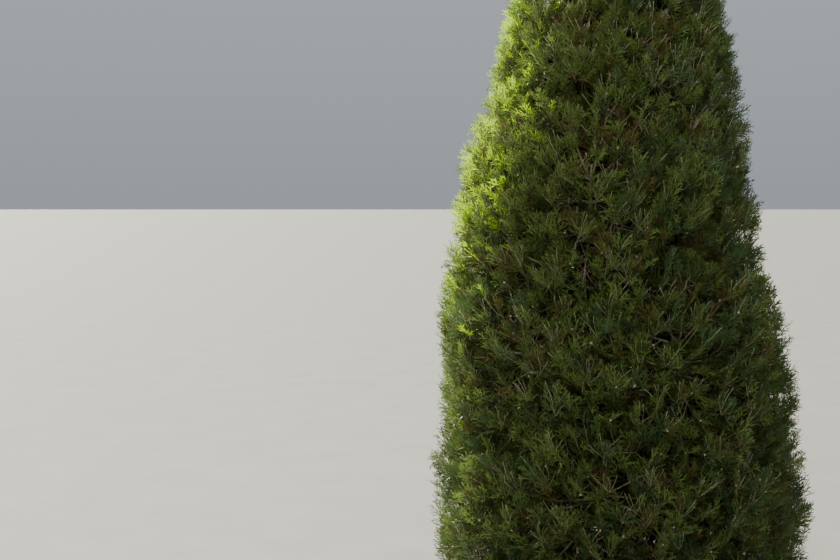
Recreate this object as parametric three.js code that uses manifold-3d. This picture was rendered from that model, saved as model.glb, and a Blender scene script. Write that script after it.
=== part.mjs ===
// A whole arborvitae: a broad, dense, pointed evergreen. One trunk runs up through the crown, boughs
// leave it in rising tiers, and each bough carries one mass of flat, toothed sprays.
// Millimetres, +Z up. The origin is the middle of the flat cut under the trunk, at ground level.
import * as THREE from "three";
import { mergeVertices } from "three/addons/utils/BufferGeometryUtils.js";
import Module from "manifold-3d";

const wasm = await Module();
wasm.setup();

// The crown's outline
const HEIGHT = 3650; // tip of the leader
const CROWN_RADIUS = 725; // widest reach of the foliage
const WIDEST_AT = 300; // height of that widest reach
const CROWN_POWER = 1.54; // fullness of the shoulder: 1 gives a cone, 2 a parabola
const SKIRT = 45; // lowest foliage above the ground
const SKIRT_TUCK = 0.06; // share by which the reach draws in at the skirt
const LUMP = 0.03; // share by which the crown swells and dips from place to place
const BULGE_LEFT = { amount: -46, height: 1500, spread: 340 }; // the crown's middle line sways to -X here
const BULGE_RIGHT = { amount: 32, height: 420, spread: 350 }; // and to +X here

// Tiers of foliage, counted from the ground
const TIERS = 5; // below the single mass at the top
const MASSES_ROUND = 5; // in each tier, over the gaps of the tier below, as scales lie
const FIRST_TIER = 690; // height of the lowest tier at the crown's skin
const TIER_SHRINK = 0.91; // each tier is this share of the one below
const FIRST_ANGLE = -1.2; // where the first mass of the lowest tier points
const BORDER_WAVE = 0.2; // share of its height by which a tier rises over the middle of each mass
const LAYER_RISE = 0.55; // slope of the layers between tiers, rising outwards
const LAYERS_RISE_BY = 900; // height at which the layers have their full slope
const LAYER_STEPS = 24; // enough to follow a layer out to the skin
const SPACE_GAP = 12; // each mass keeps this far inside its own space

// Trunk and boughs
const TRUNK_TIP = 2830;
const TRUNK_RADIUS = 50; // above the root flare
const TRUNK_TIP_RADIUS = 8;
const FLARE = 30; // how far the root flare adds at the ground
const FLARE_HEIGHT = 65; // over which it falls to a third
const FLARE_RIDGES = 5;
const FLARE_RIDGE_SHARE = 0.16;
const TRUNK_SWAY = 0.5; // share of the crown's sway that the trunk follows
const TRUNK_SIDES = 3 * FLARE_RIDGES;
const TRUNK_STEPS = 12;
const TRUNK_RINGS_LOW = 1.6; // more than 1 draws the trunk's rings together in its root flare
const BOUGH_SHARE = 0.36; // a bough's radius beside the trunk's where it leaves
const BOUGH_LEAST = 6.5;
const BOUGH_TAPER = 0.66;
const BOUGH_SIDES = 6;
const BOUGH_STEPS = 3;
const BOUGH_ENTRY = 0.34; // share of the reach at which a bough enters its mass
const BOUGH_ENTRY_UP = 0.42; // and share of the mass's height
const BOUGH_BEND = 0.16; // how far a bough sags below the straight line, as a share of its rise
const BOUGH_STRAY = 0.07; // how far its angle, rise and height stray
const BOUGH_SEED = 7000;
const LOW_BOUGH_RISE = THREE.MathUtils.degToRad(24);
const HIGH_BOUGH_RISE = THREE.MathUtils.degToRad(52);
const JOINT_GAP = 0.3; // clearance between a limb and what carries it

// A mass of foliage
const CORE_INSIDE = 0.4; // share of the reach where the dense core begins
const CORE_OUTSIDE = 0.85; // and where it ends
const CORE_ROUNDNESS = 0.3; // 0 gives a core as square as its space, 1 a ball
const CORE_LUMP = 0.04; // share of the reach by which a core swells and dips
const CORE_TOP_CUT = 130; // the topmost core ends this far below the crown's tip
const STEM_REACH = 0.8; // share of the reach where the stem ends
const STEM_END_UP = 0.62; // and share of the mass's height
const STEM_TIP_RADIUS = 3.5;
const STEM_SIDES = 5;
const STEM_STEPS = 3;
const TWIG_SPACING = 190; // distance between twig tips over the skin
const TWIG_RADIUS = 9;
const TWIG_TIP_RADIUS = 6;
const TWIG_SIDES = 3;
const TWIG_STEPS = 2;
const TWIG_SUNK = 26; // a twig ends this far under the core's skin
const TWIG_DROP = 0.03; // share of the space by which twigs end low, to leave their sprays room to rise
const TWIG_STAGGER = 0.2; // share of their spacing by which each row of twigs is shifted
const TWIG_STRAY = 0.16; // and by which each twig strays
const TWIG_BEND = 0.12;
const FIRST_TWIG = 0.3; // share of the stem's length where twigs begin
const LAST_TWIG = 0.9; // and where they end
const TWIG_SEED = 31;
const SMALLEST_SCALE = 0.6; // of sprays and spacings, at the crown's tip
const SPRAY_LENGTH = 265;
const SPRAY_STRAY = 0.1; // share by which its length strays
const SPRAY_WIDTH = 0.56; // share of its length
const SPRAY_THICKNESS = 0.045; // share of its length, at the middle
const SPRAY_MIDDLE_AT = 0.4; // shares of its length from the root to the middle, notches and side teeth
const NOTCH_AT = 0.7;
const SIDE_TOOTH_AT = 0.58;
const NOTCH_WIDTH = 0.38; // share of the half width at which the notches lie
const TOOTH_STRAY = 0.05;
const SPRAY_LIFT = 0.3; // how much more steeply than the layers a spray rises
const SPRAY_SINK = 6; // how far a spray's root goes past the middle of its twig
const SPRAY_LEAN = 0.6; // most that a spray turns off its twig's line, in radians
const SPRAY_ROLL = 0.7; // and about its own line
const SPRAY_PROUD = 40; // how far a spray's tip may stand out past the reach
const LEADER_BARE = 190; // the topmost spray's root is this far below the crown's tip
const SPRAY_TRIES = 16; // a spray that leaves its space is tried again, smaller
const SPRAY_SHRINK = 0.95;
const LEAST_BODY = 1; // a scrap under this volume is dropped

const SEED = 4127;
const BARK = { color: 0x6b5443, roughness: 0.92, metalness: 0 };
const LEAF = { color: 0x3f5a26, roughness: 0.7, metalness: 0 };

const { lerp, smoothstep } = THREE.MathUtils;
const UP = new THREE.Vector3(0, 0, 1);

// Random numbers from 0 to 1 that are the same on every run.
function seededRandom(seed) {
  let state = seed >>> 0;
  return () => {
    state = (state + 0x6d2b79f5) >>> 0;
    let mixed = Math.imul(state ^ (state >>> 15), 1 | state);
    mixed = (mixed + Math.imul(mixed ^ (mixed >>> 7), 61 | mixed)) ^ mixed;
    return ((mixed ^ (mixed >>> 14)) >>> 0) / 2 ** 32;
  };
}

// A random number from -amount to amount.
function spread(random, amount) {
  return (2 * random() - 1) * amount;
}

// Where the crown's middle line stands in X at a height.
function crownSway(z) {
  const swell = (b) => b.amount * Math.exp(-(((z - b.height) / b.spread) ** 2));
  return swell(BULGE_LEFT) + swell(BULGE_RIGHT);
}

// How far the foliage reaches from the middle line, at a height on the skin and an angle round the trunk.
function crownReach(skinHeight, angle) {
  const below = Math.max(0, (WIDEST_AT - skinHeight) / (WIDEST_AT - SKIRT));
  const above = THREE.MathUtils.clamp((skinHeight - WIDEST_AT) / (HEIGHT - WIDEST_AT), 0, 1);
  const lumps = 1 + LUMP * Math.sin(5 * angle + skinHeight / 170) * Math.cos(2 * angle - skinHeight / 260);
  return CROWN_RADIUS * (1 - SKIRT_TUCK * below ** 2) * (1 - above ** CROWN_POWER) * lumps;
}

// The slope of the layer that meets the skin at a height: flat at the skirt, rising outwards above.
function layerSlope(skinHeight) {
  return LAYER_RISE * smoothstep(skinHeight, SKIRT, LAYERS_RISE_BY);
}

// A point in the crown, by angle, by the height at which its layer meets the skin, and by share of the reach.
function crownPoint(angle, skinHeight, share) {
  const reach = crownReach(skinHeight, angle);
  const z = skinHeight - layerSlope(skinHeight) * reach * (1 - share);
  const r = reach * share;
  return new THREE.Vector3(crownSway(z) + r * Math.cos(angle), r * Math.sin(angle), z);
}

// A point's angle, the height at which its layer meets the skin, its distance from the middle line, and how
// far it stands out of the skin. The height is found by stepping along the layer.
function crownPlace(point) {
  const x = point.x - crownSway(point.z);
  const r = Math.hypot(x, point.y);
  const angle = Math.atan2(point.y, x);
  let skinHeight = point.z;
  for (let step = 0; step < LAYER_STEPS; step += 1)
    skinHeight = point.z + layerSlope(skinHeight) * (crownReach(skinHeight, angle) - r);
  return { angle, skinHeight, r, proud: r - crownReach(skinHeight, angle) };
}

// Each tier's height at the skin, and the angle that its first mass points in.
function layOutTiers() {
  const tiers = [{ top: SKIRT, height: 0, angle: FIRST_ANGLE }];
  for (let tier = 1; tier <= TIERS; tier += 1) {
    const height = FIRST_TIER * TIER_SHRINK ** (tier - 1);
    const angle = FIRST_ANGLE + (tier * Math.PI) / MASSES_ROUND;
    tiers.push({ top: tiers[tier - 1].top + height, height, angle });
  }
  return tiers;
}

const tiers = layOutTiers();

// Where a tier ends at the skin, at an angle: a wave that is highest over the middle of each mass.
function tierTop(tier, angle) {
  if (tier > TIERS) return HEIGHT;
  const { top, height, angle: first } = tiers[tier];
  return top + BORDER_WAVE * height * Math.cos(MASSES_ROUND * (angle - first));
}

// A height at the skin, by share of the mass's space from its lower border to its upper one.
function heightIn(mass, angle, share) {
  return lerp(tierTop(mass.tier - 1, angle) + SPACE_GAP, tierTop(mass.tier, angle) - SPACE_GAP, share);
}

// The spaces that the masses keep to: sectors of the tiers, and one space round the leader.
function layOutMasses() {
  const masses = [];
  for (let tier = 1; tier <= TIERS; tier += 1)
    for (let number = 1; number <= MASSES_ROUND; number += 1) {
      const angle = tiers[tier].angle + (2 * Math.PI * number) / MASSES_ROUND;
      const seed = SEED + 100 * tier + number;
      masses.push({ name: `${tier}_${number}`, seed, tier, angle, halfAngle: Math.PI / MASSES_ROUND });
    }
  masses.push({ name: "top", seed: SEED, tier: TIERS + 1, angle: tiers[TIERS].angle, halfAngle: Math.PI });
  for (const mass of masses) mass.reach = crownReach(heightIn(mass, mass.angle, 0.5), mass.angle);
  return masses;
}

// True if a point is inside a mass's space, clear of its borders.
function holds(mass, point) {
  const { angle, skinHeight, r, proud } = crownPlace(point);
  const turn = Math.abs(Math.atan2(Math.sin(angle - mass.angle), Math.cos(angle - mass.angle)));
  const beside = mass.halfAngle === Math.PI || (mass.halfAngle - turn) * r > SPACE_GAP;
  const above = skinHeight > heightIn(mass, angle, 0) && point.z > SKIRT;
  const below = mass.tier > TIERS ? point.z <= HEIGHT : skinHeight < heightIn(mass, angle, 1);
  return beside && above && below && proud < SPRAY_PROUD;
}

// A three.js geometry whose neighbouring faces share their vertices.
function joined(geometry) {
  const bare = geometry.clone();
  bare.deleteAttribute("normal");
  bare.deleteAttribute("uv");
  return mergeVertices(bare, 1e-3);
}

// A closed three.js geometry as a solid.
function solidOf(geometry) {
  const merged = joined(geometry);
  const triVerts = new Uint32Array(merged.index.array);
  const vertProperties = new Float32Array(merged.attributes.position.array);
  return new wasm.Manifold(new wasm.Mesh({ numProp: 3, vertProperties, triVerts }));
}

// The largest body of a solid, as a three.js geometry: loose scraps are dropped.
function geometryOf(solid) {
  const bodies = solid.decompose().filter((body) => body.volume() > LEAST_BODY);
  const mesh = bodies.sort((a, b) => b.volume() - a.volume())[0].getMesh();
  const geometry = new THREE.BufferGeometry();
  geometry.setAttribute("position", new THREE.BufferAttribute(mesh.vertProperties, 3));
  geometry.setIndex(new THREE.BufferAttribute(mesh.triVerts, 1));
  geometry.computeVertexNormals();
  return geometry;
}

// A level unit vector square to a direction, or one near Y where the direction stands upright.
function beside(direction) {
  const reference = Math.abs(direction.z) > 0.95 ? new THREE.Vector3(1, 0, 0) : UP;
  return new THREE.Vector3().crossVectors(reference, direction).normalize();
}

// A round limb along a curve: a cylinder whose rings are moved onto the curve and sized by radiusAt.
function limb(curve, radiusAt, sides, steps) {
  const geometry = new THREE.CylinderGeometry(1, 1, 1, sides, steps);
  const chord = curve.getPoint(1).sub(curve.getPoint(0)).normalize();
  const reference = Math.abs(chord.z) > 0.9 ? new THREE.Vector3(0, 1, 0) : UP;
  const position = geometry.attributes.position;
  const vertex = new THREE.Vector3();
  for (let i = 0; i < position.count; i += 1) {
    vertex.fromBufferAttribute(position, i);
    const t = vertex.y + 0.5;
    const tangent = curve.getTangent(t);
    const side = new THREE.Vector3().crossVectors(tangent, reference).normalize();
    const other = new THREE.Vector3().crossVectors(side, tangent);
    const radius = radiusAt(t, Math.atan2(vertex.z, vertex.x));
    const place = curve.getPoint(t).addScaledVector(side, radius * vertex.x);
    place.addScaledVector(other, radius * vertex.z);
    position.setXYZ(i, place.x, place.y, place.z);
  }
  return geometry;
}

// A curve that leaves start flatter and turns up into end, as these limbs do.
function risingCurve(start, end, bend) {
  const middle = start.clone().lerp(end, 0.5);
  middle.z -= bend * (end.z - start.z);
  return new THREE.QuadraticBezierCurve3(start, middle, end);
}

// The middle of the trunk at a height: it stands on the origin and follows the crown's sway.
function trunkCentre(z) {
  return new THREE.Vector3(TRUNK_SWAY * (crownSway(z) - crownSway(0)), 0, z);
}

function trunkRadius(z) {
  return lerp(TRUNK_RADIUS, TRUNK_TIP_RADIUS, z / TRUNK_TIP);
}

function trunkRingHeight(t) {
  return TRUNK_TIP * t ** TRUNK_RINGS_LOW;
}

// The trunk's middle line. Its rings are level, which keeps the cut at the ground flat.
class TrunkLine extends THREE.Curve {
  getPoint(t) {
    return trunkCentre(trunkRingHeight(t));
  }
  getTangent() {
    return UP.clone();
  }
}

function trunkSolid(clearance) {
  const radiusAt = (t, turn) => {
    const z = trunkRingHeight(t);
    const flare = Math.exp(-z / FLARE_HEIGHT);
    const ridges = 1 + FLARE_RIDGE_SHARE * flare * Math.cos(FLARE_RIDGES * turn);
    return (trunkRadius(z) + FLARE * flare) * ridges + clearance;
  };
  return solidOf(limb(new TrunkLine(), radiusAt, TRUNK_SIDES, TRUNK_STEPS));
}

// The line of a mass's bough, from inside the trunk to where it enters the mass, and its two radii.
function boughPlan(mass) {
  const random = seededRandom(mass.seed + BOUGH_SEED);
  const entryAngle = mass.angle + spread(random, BOUGH_STRAY);
  const entryHeight = heightIn(mass, entryAngle, BOUGH_ENTRY_UP + spread(random, BOUGH_STRAY));
  const end = crownPoint(entryAngle, entryHeight, BOUGH_ENTRY);
  const steepness = (mass.tier - 1) / (TIERS - 1);
  const rise = lerp(LOW_BOUGH_RISE, HIGH_BOUGH_RISE, steepness) + spread(random, BOUGH_STRAY);
  const run = Math.hypot(end.x - crownSway(end.z), end.y);
  const start = trunkCentre(end.z - run * Math.tan(rise));
  const radius = Math.max(BOUGH_LEAST, BOUGH_SHARE * trunkRadius(start.z));
  return { curve: risingCurve(start, end, BOUGH_BEND), radius, tipRadius: BOUGH_TAPER * radius };
}

// A bough begins at the trunk's bark, a hair clear of it.
function boughSolid({ curve, radius, tipRadius }, trunkSpace) {
  const radiusAt = (t) => lerp(radius, tipRadius, t);
  return solidOf(limb(curve, radiusAt, BOUGH_SIDES, BOUGH_STEPS)).subtract(trunkSpace);
}

// The stem of a mass: it carries on from its bough's tip, or from the trunk's tip at the top.
function stemPlan(mass) {
  if (mass.tier > TIERS) {
    const start = trunkCentre(TRUNK_TIP).addScaledVector(UP, JOINT_GAP);
    const end = new THREE.Vector3(crownSway(HEIGHT), 0, HEIGHT - SPRAY_LENGTH / 2);
    return { curve: risingCurve(start, end, 0), radius: TRUNK_TIP_RADIUS };
  }
  const bough = boughPlan(mass);
  const along = bough.curve.getTangent(1);
  const start = bough.curve.getPoint(1).addScaledVector(along, JOINT_GAP);
  const end = crownPoint(mass.angle, heightIn(mass, mass.angle, STEM_END_UP), STEM_REACH);
  const middle = start.clone().addScaledVector(along, start.distanceTo(end) / 2);
  return { curve: new THREE.QuadraticBezierCurve3(start, middle, end), radius: bough.tipRadius };
}

// How large a mass's sprays are, and how far apart its twigs: less towards the crown's tip.
function scaleOf(mass) {
  return lerp(SMALLEST_SCALE, 1, mass.reach / CROWN_RADIUS);
}

// Twigs leave the stem one after another and end evenly over the mass's part of the skin.
function twigPlans(mass, stem) {
  const shuffle = seededRandom(mass.seed);
  const spacing = TWIG_SPACING * scaleOf(mass);
  const rows = Math.round((heightIn(mass, mass.angle, 1) - heightIn(mass, mass.angle, 0)) / spacing);
  const plans = [];
  for (let row = 0; row < rows; row += 1) {
    const up = (row + 0.5) / rows;
    const rowReach = crownReach(heightIn(mass, mass.angle, up), mass.angle);
    const columns = Math.max(2, Math.round((2 * mass.halfAngle * rowReach) / spacing));
    for (let column = 0; column < columns; column += 1) {
      const stagger = row % 2 ? TWIG_STAGGER : -TWIG_STAGGER;
      const round = (column + 0.5 + stagger + spread(shuffle, TWIG_STRAY)) / columns;
      const angle = mass.angle + mass.halfAngle * (2 * round - 1);
      const height = heightIn(mass, angle, up - TWIG_DROP + spread(shuffle, TWIG_STRAY) / rows);
      const end = crownPoint(angle, height, CORE_OUTSIDE - TWIG_SUNK / rowReach);
      const start = stem.curve.getPoint(lerp(FIRST_TWIG, LAST_TWIG, up));
      const random = seededRandom(mass.seed + TWIG_SEED * (plans.length + 1));
      plans.push({ curve: risingCurve(start, end, TWIG_BEND), height, random });
    }
  }
  if (mass.tier > TIERS) {
    const tip = new THREE.Vector3(crownSway(HEIGHT), 0, HEIGHT - LEADER_BARE);
    plans.push({ curve: risingCurve(stem.curve.getPoint(LAST_TWIG), tip, 0), height: HEIGHT, random: shuffle });
  }
  return plans;
}

// The dense middle of a mass: a rounded box bent to the shape of its space.
function coreSolid(mass) {
  const geometry = joined(new THREE.BoxGeometry(2, 2, 2, 4, 2, 3));
  const position = geometry.attributes.position;
  const v = new THREE.Vector3();
  const rounded = (a, b, c) => a * Math.sqrt(1 - CORE_ROUNDNESS * ((b * b + c * c) / 2 - (b * b * c * c) / 3));
  for (let i = 0; i < position.count; i += 1) {
    v.fromBufferAttribute(position, i);
    const lump = CORE_LUMP * Math.sin(mass.seed + 3 * v.x + 2 * v.z);
    const share = lerp(CORE_INSIDE, CORE_OUTSIDE + lump, (1 + rounded(v.y, v.z, v.x)) / 2);
    const halfTurn = mass.halfAngle - SPACE_GAP / (share * mass.reach);
    const angle = mass.angle - halfTurn * rounded(v.x, v.y, v.z);
    const place = crownPoint(angle, heightIn(mass, angle, (1 + rounded(v.z, v.x, v.y)) / 2), share);
    position.setXYZ(i, place.x, place.y, place.z);
  }
  return solidOf(geometry);
}

// The core at the top of the crown: a pointed drop that stands clear above the trunk's tip.
function topCoreSolid(mass) {
  const geometry = joined(new THREE.SphereGeometry(1, 2 * MASSES_ROUND, 6));
  const position = geometry.attributes.position;
  const v = new THREE.Vector3();
  for (let i = 0; i < position.count; i += 1) {
    v.fromBufferAttribute(position, i);
    const angle = mass.angle + Math.atan2(-v.z, v.x);
    const skinHeight = lerp(heightIn(mass, angle, 0), HEIGHT - CORE_TOP_CUT, (1 + v.y) / 2);
    const share = CORE_OUTSIDE * Math.min(1, Math.hypot(v.x, v.z)) ** 0.5;
    const place = crownPoint(angle, skinHeight, share);
    position.setXYZ(i, place.x, place.y, Math.max(place.z, TRUNK_TIP + SPACE_GAP));
  }
  return solidOf(geometry);
}

// One flat spray: a six-sided double pyramid whose rim is moved onto a three-toothed outline.
function sprayGeometry(root, along, across, length, random) {
  const normal = new THREE.Vector3().crossVectors(along, across);
  const side = SPRAY_WIDTH / 2;
  const tooth = () => SIDE_TOOTH_AT + spread(random, TOOTH_STRAY);
  const notch = () => NOTCH_AT + spread(random, TOOTH_STRAY);
  const outline = [
    [0, 0],
    [tooth(), -side],
    [notch(), -NOTCH_WIDTH * side],
    [1, 0],
    [notch(), NOTCH_WIDTH * side],
    [tooth(), side],
  ];
  const geometry = new THREE.SphereGeometry(1, outline.length, 2);
  const position = geometry.attributes.position;
  for (let i = 0; i < position.count; i += 1) {
    const face = Math.round(position.getY(i)); // 1 and -1 are the two middles, and 0 is the rim
    const corner = outline[(i % (outline.length + 1)) % outline.length];
    const [forward, sideways] = face ? [SPRAY_MIDDLE_AT, 0] : corner;
    const place = root.clone().addScaledVector(along, forward * length);
    place.addScaledVector(across, sideways * length);
    place.addScaledVector(normal, 0.5 * face * SPRAY_THICKNESS * length);
    position.setXYZ(i, place.x, place.y, place.z);
  }
  return geometry;
}

// True if all of a geometry is inside the mass's space.
function staysInside(mass, geometry) {
  const position = geometry.attributes.position;
  const vertex = new THREE.Vector3();
  for (let i = 0; i < position.count; i += 1)
    if (!holds(mass, vertex.fromBufferAttribute(position, i))) return false;
  return true;
}

// A spray's direction and its flat side: leant off the twig's line, lifted, and rolled about itself.
function sprayAxes(tangent, lean, lift, roll) {
  const along = tangent.clone().multiplyScalar(Math.cos(lean)).addScaledVector(beside(tangent), Math.sin(lean));
  along.z += lift;
  along.normalize();
  return { along, across: beside(along).applyAxisAngle(along, roll) };
}

// The spray at a twig's tip, or null if none fits in the mass's space.
function spraySolid(mass, { curve, height, random }) {
  for (let attempt = 0; attempt < SPRAY_TRIES; attempt += 1) {
    const lift = layerSlope(height) + SPRAY_LIFT + spread(random, SPRAY_LIFT);
    const lean = spread(random, SPRAY_LEAN);
    const { along, across } = sprayAxes(curve.getTangent(1), lean, lift, spread(random, SPRAY_ROLL));
    const length = SPRAY_LENGTH * scaleOf(mass) * (1 + spread(random, SPRAY_STRAY)) * SPRAY_SHRINK ** attempt;
    const root = curve.getPoint(1).addScaledVector(along, -SPRAY_SINK);
    const geometry = sprayGeometry(root, along, across, length, random);
    if (staysInside(mass, geometry)) return solidOf(geometry);
  }
  return null;
}

// One mass: its core, stem and twigs, with the sprays fused on.
function massSolid(mass) {
  const stem = stemPlan(mass);
  const stemRadius = (t) => lerp(stem.radius, STEM_TIP_RADIUS, t);
  const twigRadius = (t) => lerp(TWIG_RADIUS, TWIG_TIP_RADIUS, t);
  const core = mass.tier > TIERS ? topCoreSolid(mass) : coreSolid(mass);
  let solid = core.add(solidOf(limb(stem.curve, stemRadius, STEM_SIDES, STEM_STEPS)));
  for (const plan of twigPlans(mass, stem)) {
    const twig = limb(plan.curve, twigRadius, TWIG_SIDES, TWIG_STEPS);
    const spray = spraySolid(mass, plan);
    if (spray && staysInside(mass, twig)) solid = solid.add(solidOf(twig)).add(spray);
  }
  return solid;
}

function meshOf(name, solid, look) {
  const mesh = new THREE.Mesh(geometryOf(solid), new THREE.MeshStandardMaterial(look));
  mesh.name = name;
  return mesh;
}

const arborvitae = new THREE.Group();
arborvitae.add(meshOf("trunk", trunkSolid(0), BARK));
const trunkSpace = trunkSolid(JOINT_GAP);
for (const mass of layOutMasses()) {
  arborvitae.add(meshOf(`foliage_${mass.name}`, massSolid(mass), LEAF));
  if (mass.tier > TIERS) continue;
  arborvitae.add(meshOf(`bough_${mass.name}`, boughSolid(boughPlan(mass), trunkSpace), BARK));
}

export default arborvitae;
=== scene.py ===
"""A whole arborvitae, dressed: barked trunk and boughs, twigs, and flat scale-leaved sprays.

The crown's outline, its masses and the lines of its limbs follow the same named sizes as the solids.
Each mass is carried on from its stem to twigs, twiglets and sprays. Metres, +Z up, origin at the ground.
"""
import logging
import math
from dataclasses import dataclass, field
from enum import Enum

import bpy
import numpy as np
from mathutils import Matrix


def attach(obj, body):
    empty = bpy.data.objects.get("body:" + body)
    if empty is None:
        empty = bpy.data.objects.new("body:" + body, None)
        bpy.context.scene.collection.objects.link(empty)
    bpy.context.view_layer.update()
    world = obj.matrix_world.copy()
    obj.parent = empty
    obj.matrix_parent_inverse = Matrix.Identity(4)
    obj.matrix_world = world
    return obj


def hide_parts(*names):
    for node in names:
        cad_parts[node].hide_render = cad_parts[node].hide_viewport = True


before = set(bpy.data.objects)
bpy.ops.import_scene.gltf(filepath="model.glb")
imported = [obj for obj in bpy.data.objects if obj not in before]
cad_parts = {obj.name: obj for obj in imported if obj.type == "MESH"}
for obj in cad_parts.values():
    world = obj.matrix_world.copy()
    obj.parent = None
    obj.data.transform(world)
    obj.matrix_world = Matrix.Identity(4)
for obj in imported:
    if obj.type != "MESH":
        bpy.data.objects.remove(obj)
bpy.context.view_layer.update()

logging.basicConfig(level=logging.INFO, format="%(name)s: %(message)s")
log = logging.getLogger("arborvitae")

# Short names for the types that the hints repeat.
Array = np.ndarray
Chance = np.random.Generator
Material = bpy.types.Material
Node = bpy.types.Node
Piece = bpy.types.Object
Tree = bpy.types.NodeTree
Triple = tuple[float, float, float]
Range = tuple[float, float]
# A mesh as arrays: vertices in rows of X, Y and Z, and triangles in rows of three vertex numbers.
MeshArrays = tuple[Array, Array]

UP = np.array([0.0, 0.0, 1.0])
BODY = "root"
SAME_PLACE = 1e-4
NEARLY_NOTHING = 1e-9
NEARLY_UPRIGHT = 0.95


def unit(vectors: Array) -> Array:
    """Scale vectors, with X, Y and Z on the last axis, to a length of one."""
    return vectors / np.maximum(np.linalg.norm(vectors, axis=-1, keepdims=True), NEARLY_NOTHING)


def beside(directions: Array) -> Array:
    """Find level unit vectors square to directions, or ones near Y where a direction is upright.

    Args:
        directions: Unit vectors, any number.

    Returns:
        Unit vectors of the same shape.
    """
    upright = np.abs(directions[..., 2:3]) > NEARLY_UPRIGHT
    reference = np.where(upright, np.array([1.0, 0.0, 0.0]), UP)
    return unit(np.cross(reference, directions))


def lerp(low: float | Array, high: float | Array, share: float | Array) -> float | Array:
    """Blend from low to high by share."""
    return low + (high - low) * share


def either_way(chance: Chance, amount: float, size: int | tuple[int, ...] | None = None) -> float | Array:
    """Draw evenly from -amount to amount."""
    return chance.uniform(-amount, amount, size)


class SeededDraws:
    """Random numbers that are the same on every run and the same as the solids' own."""

    # WORD keeps 32 bits. STEP, and the shifts and 61 in draw, are this kind of generator's own numbers.
    WORD: int = 0xFFFFFFFF
    STEP: int = 0x6D2B79F5

    def __init__(self, seed: int) -> None:
        """Start from a seed."""
        self.state = seed & self.WORD

    def draw(self) -> float:
        """Mix the next number out of the state.

        Returns:
            A number from 0 to 1.
        """
        self.state = (self.state + self.STEP) & self.WORD
        mixed = ((self.state ^ (self.state >> 15)) * (1 | self.state)) & self.WORD
        mixed = ((mixed + ((mixed ^ (mixed >> 7)) * (61 | mixed) & self.WORD)) & self.WORD) ^ mixed
        return ((mixed ^ (mixed >> 14)) & self.WORD) / 2**32

    def spread(self, amount: float) -> float:
        """Give the next number from -amount to amount."""
        return (2 * self.draw() - 1) * amount


@dataclass(frozen=True)
class Sway:
    """One swell of the crown's middle line to a side, in X."""

    amount: float
    height: float
    spread: float


@dataclass(frozen=True)
class Crown:
    """The crown's outline, and the rule by which points are placed in it."""

    height: float = 3.65
    radius: float = 0.725
    widest_at: float = 0.30
    power: float = 1.54
    skirt: float = 0.045
    skirt_tuck: float = 0.06
    lump: float = 0.03
    lumps_round: int = 5
    lump_height: float = 0.170
    twists_round: int = 2
    twist_height: float = 0.260
    sways: tuple[Sway, ...] = (Sway(-0.046, 1.50, 0.34), Sway(0.032, 0.42, 0.35))
    layer_rise: float = 0.55
    layers_rise_by: float = 0.90
    layer_steps: int = 24

    def sway(self, z: Array) -> Array:
        """Give the X of the crown's middle line at heights z."""
        return sum(s.amount * np.exp(-(((z - s.height) / s.spread) ** 2)) for s in self.sways)

    def reach(self, skin_height: Array, angle: Array) -> Array:
        """Give how far the foliage reaches from the middle line.

        Args:
            skin_height: Height on the crown's skin.
            angle: Angle round the trunk, in radians.

        Returns:
            The reach in metres.
        """
        below = np.maximum(0, (self.widest_at - skin_height) / (self.widest_at - self.skirt))
        above = np.clip((skin_height - self.widest_at) / (self.height - self.widest_at), 0, 1)
        lumps = np.sin(self.lumps_round * angle + skin_height / self.lump_height)
        twists = np.cos(self.twists_round * angle - skin_height / self.twist_height)
        smooth = self.radius * (1 - self.skirt_tuck * below**2) * (1 - above**self.power)
        return smooth * (1 + self.lump * (lumps * twists))

    def layer_slope(self, skin_height: Array) -> Array:
        """Give the slope of the layer that meets the skin at a height."""
        share = np.clip((skin_height - self.skirt) / (self.layers_rise_by - self.skirt), 0, 1)
        return self.layer_rise * share * share * (3 - 2 * share)

    def point(self, angle: Array, skin_height: Array, share: Array) -> Array:
        """Place points by angle, by height at the skin, and by share of the reach.

        Args:
            angle: Angles round the trunk.
            skin_height: Heights at which the points' layers meet the skin.
            share: Shares of the reach, 1 at the skin.

        Returns:
            The points, with X, Y and Z on the last axis.
        """
        reach = self.reach(skin_height, angle)
        z = skin_height - self.layer_slope(skin_height) * reach * (1 - share)
        r = reach * share
        return np.stack([self.sway(z) + r * np.cos(angle), r * np.sin(angle), z], axis=-1)

    def place(self, points: Array) -> tuple[Array, Array]:
        """Find where points lie in the crown.

        Args:
            points: Points with X, Y and Z on the last axis.

        Returns:
            Their angles, and how far they stand out of the skin, less than 0 inside.
        """
        x = points[..., 0] - self.sway(points[..., 2])
        r = np.hypot(x, points[..., 1])
        angle = np.arctan2(points[..., 1], x)
        height = points[..., 2]
        for _ in range(self.layer_steps):
            height = points[..., 2] + self.layer_slope(height) * (self.reach(height, angle) - r)
        return angle, r - self.reach(height, angle)


@dataclass
class Mass:
    """One mass of foliage and the space that it keeps to."""

    name: str
    seed: int
    tier: int
    angle: float
    half_angle: float
    reach: float = 0.0


@dataclass
class Limb:
    """A tapering limb along a curve with one control point, or many limbs held as one."""

    start: Array
    middle: Array
    end: Array
    radius: float | Array
    tip_radius: float | Array

    @classmethod
    def many(cls, limbs: list["Limb"]) -> "Limb":
        """Hold many limbs as one: each value has a row for each limb, and an axis for shares of length."""
        columns = zip(*(vars(limb).values() for limb in limbs))
        return cls(*[np.array(column).reshape(len(limbs), 1, -1) for column in columns])

    def point(self, t: float | Array) -> Array:
        """Give the point at share t of the limb's length."""
        return (1 - t) ** 2 * self.start + 2 * t * (1 - t) * self.middle + t * t * self.end

    def tangent(self, t: float | Array) -> Array:
        """Give the unit direction at share t of the limb's length."""
        return unit((1 - t) * (self.middle - self.start) + t * (self.end - self.middle))


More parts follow.
